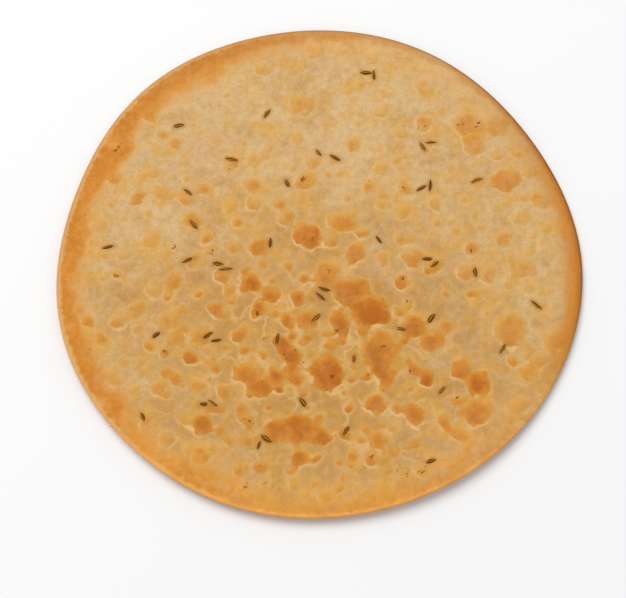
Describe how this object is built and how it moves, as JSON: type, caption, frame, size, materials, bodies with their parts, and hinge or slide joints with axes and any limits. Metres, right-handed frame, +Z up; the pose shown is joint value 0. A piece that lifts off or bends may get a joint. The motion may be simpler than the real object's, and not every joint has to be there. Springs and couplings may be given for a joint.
{
  "type": "khakhra",
  "caption": "Thin round crisp flatbread with toasted blisters, a golden lifted rim and cumin seeds fused into its top; lies flat on a table or plate.",
  "frame": {"origin": "middle of the flat spot on the underside that the bread rests on", "axes": "+Z up out of the seeded top face, +X to the right and +Y away from the viewer in the picture"},
  "size_m": [0.2005, 0.1996, 0.0047],
  "materials": {
    "toasted_dough": "dry, matte, roasted dough",
    "cumin_seed": "dry, matte, ridged cumin seeds"
  },
  "bodies": {
    "root": {"khakhra": "toasted_dough"}
  },
  "joints": []
}
